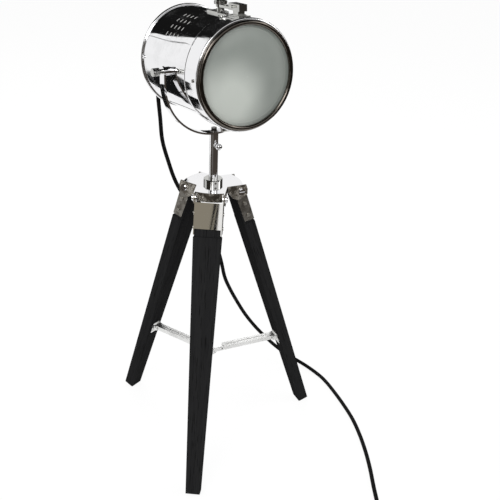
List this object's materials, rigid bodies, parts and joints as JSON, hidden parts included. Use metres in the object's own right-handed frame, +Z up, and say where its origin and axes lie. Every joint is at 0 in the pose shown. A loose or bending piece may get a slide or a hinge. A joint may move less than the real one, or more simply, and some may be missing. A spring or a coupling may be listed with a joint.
{
  "type": "tripod spotlight lamp",
  "caption": "Tripod spotlight lamp: polished drum head in a tilting yoke on a short telescoping stem, black tapered legs with a folding spreader, mains cord.",
  "frame": {"origin": "on the floor, in the middle of the box round the three feet", "axes": "+Z up, -Y the way the head faces at rest, +X to the right of a person looking along +Y at the glass"},
  "size_m": [0.3355, 0.643, 0.6525],
  "materials": {
    "chrome": "polished chrome plate",
    "brushed_steel": "satin steel",
    "dark_steel": "dark nickel",
    "black_wood": "satin black painted hardwood",
    "frosted_glass": "frosted",
    "bulb_glass": "opal",
    "reflector": "polished",
    "ceramic": "ivory heat-proof moulding",
    "cord": "matt black sheath",
    "black_plastic": "fine texture",
    "gasket": "matt"
  },
  "bodies": {
    "stand": {"platform": "chrome", "stem_tube": "chrome", "stem_collar": "chrome", "collar_screws": "dark_steel", "stem_nut": "brushed_steel", "hinge_bolts": "chrome", "cord_hanging": "cord", "cord_on_floor": "cord", "inline_switch": "black_plastic", "cord_link": "cord", "cord_coil": "cord", "plug": "black_plastic"},
    "clamp_screw": {"ball_clamp_screw": "chrome"},
    "mast": {"mast_rod": "chrome", "mast_cap_nut": "dark_steel"},
    "yoke": {"yoke": "chrome"},
    "knob_left": {"tilt_knob_left": "chrome"},
    "knob_right": {"tilt_knob_right": "chrome"},
    "leg_front": {"leg_board_front": "black_wood", "leg_cap_front": "chrome", "cap_screws_front": "chrome", "leg_bracket_front": "chrome"},
    "leg_left": {"leg_board_left": "black_wood", "leg_cap_left": "chrome", "cap_screws_left": "chrome", "leg_bracket_left": "chrome"},
    "leg_right": {"leg_board_right": "black_wood", "leg_cap_right": "chrome", "cap_screws_right": "chrome", "leg_bracket_right": "chrome"},
    "arm_front": {"spreader_arm_front": "brushed_steel"},
    "arm_left": {"spreader_arm_left": "brushed_steel"},
    "arm_right": {"spreader_arm_right": "brushed_steel"},
    "hub": {"spreader_hub": "brushed_steel"},
    "head": {"drum_shell": "chrome", "rear_cap": "chrome", "rear_cap_screws": "brushed_steel", "trunnions": "chrome", "holder_bracket": "brushed_steel", "lamp_holder": "ceramic", "bulb_base": "brushed_steel", "bulb_glass": "bulb_glass", "reflector": "reflector", "latch_base": "chrome", "hinge_leaf": "chrome", "hinge_pin": "dark_steel", "cord_gland": "black_plastic", "strain_relief": "black_plastic"},
    "ring": {"front_ring": "chrome", "front_glass": "frosted_glass", "glass_gasket": "gasket", "glass_retainer": "brushed_steel", "ring_screws": "dark_steel", "ring_hinge_eye": "chrome", "latch_catch": "chrome"},
    "latch_arm": {"latch_arm": "chrome"},
    "latch_knob": {"latch_knob": "chrome"},
    "rocker": {"switch_rocker": "black_plastic"}
  },
  "joints": [
    {"name": "mast_lift", "type": "slide", "parent": "stand", "child": "mast", "axis": [0, 0, 1], "range_m": [0, 0.03], "deforming": ["cord_hanging"]},
    {"name": "clamp_turn", "type": "hinge", "parent": "stand", "child": "clamp_screw", "pos_m": [-0.02993, -0.02283, 0.4605], "axis": [0, -1, 0], "range_deg": [0, 270]},
    {"name": "yoke_swivel", "type": "hinge", "parent": "mast", "child": "yoke", "pos_m": [-0.02993, -0.00933, 0.476], "axis": [0, 0, 1], "range_deg": [-120, 120], "deforming": ["cord_hanging"]},
    {"name": "head_tilt", "type": "hinge", "parent": "yoke", "child": "head", "pos_m": [-0.02993, -0.00933, 0.566], "axis": [1, 0, 0], "range_deg": [-29, 20], "deforming": ["cord_hanging"]},
    {"name": "knob_left_turn", "type": "hinge", "parent": "head", "child": "knob_left", "pos_m": [-0.11393, -0.00933, 0.566], "axis": [-1, 0, 0], "range_deg": [0, 270]},
    {"name": "knob_right_turn", "type": "hinge", "parent": "head", "child": "knob_right", "pos_m": [0.05407, -0.00933, 0.566], "axis": [1, 0, 0], "range_deg": [0, 270]},
    {"name": "ring_open", "type": "hinge", "parent": "head", "child": "ring", "pos_m": [-0.02993, -0.05528, 0.49628], "axis": [1, 0, 0], "range_deg": [0, 70]},
    {"name": "latch_arm_swing", "type": "hinge", "parent": "head", "child": "latch_arm", "pos_m": [-0.02993, -0.02076, 0.64124], "axis": [0, 0.061, 0.9981], "range_deg": [0, 90]},
    {"name": "latch_knob_turn", "type": "hinge", "parent": "head", "child": "latch_knob", "pos_m": [-0.02993, -0.02046, 0.64623], "axis": [0, 0.061, 0.9981], "range_deg": [0, 270]},
    {"name": "leg_front_fold", "type": "hinge", "parent": "stand", "child": "leg_front", "pos_m": [-0.05009, -0.03609, 0.3955], "axis": [0.7986, -0.6018, 0], "range_deg": [0, 16.5]},
    {"name": "arm_front_fold", "type": "hinge", "parent": "leg_front", "child": "arm_front", "pos_m": [-0.09249, -0.09236, 0.133], "axis": [0.7986, -0.6018, 0], "range_deg": [0, 70.4]},
    {"name": "leg_left_fold", "type": "hinge", "parent": "stand", "child": "leg_left", "pos_m": [-0.04302, 0.0215, 0.3955], "axis": [-0.9205, -0.3907, 0], "range_deg": [0, 16.5]},
    {"name": "arm_left_fold", "type": "hinge", "parent": "leg_left", "child": "arm_left", "pos_m": [-0.07055, 0.08636, 0.133], "axis": [-0.9205, -0.3907, 0], "range_deg": [0, 70.4]},
    {"name": "leg_right_fold", "type": "hinge", "parent": "stand", "child": "leg_right", "pos_m": [0.00332, -0.01342, 0.3955], "axis": [0.1219, 0.9925, 0], "range_deg": [0, 16.5]},
    {"name": "arm_right_fold", "type": "hinge", "parent": "leg_right", "child": "arm_right", "pos_m": [0.07326, -0.022, 0.133], "axis": [0.1219, 0.9925, 0], "range_deg": [0, 70.4]},
    {"name": "hub_lift", "type": "slide", "parent": "stand", "child": "hub", "axis": [0, 0, 1], "range_m": [0, 0.0727]},
    {"name": "rocker_rock", "type": "hinge", "parent": "stand", "child": "rocker", "pos_m": [0.04957, -0.34738, 0.0114], "axis": [0.866, -0.5, 0], "range_deg": [-8, 8]}
  ],
  "couplings": [
    {"joint": "leg_left_fold", "follows": "leg_front_fold", "ratio": 1},
    {"joint": "leg_right_fold", "follows": "leg_front_fold", "ratio": 1},
    {"joint": "arm_front_fold", "follows": "leg_front_fold", "ratio": 4.2636},
    {"joint": "arm_left_fold", "follows": "leg_front_fold", "ratio": 4.2636},
    {"joint": "arm_right_fold", "follows": "leg_front_fold", "ratio": 4.2636},
    {"joint": "hub_lift", "follows": "leg_front_fold", "m_per_rad": 0.25222}
  ]
}
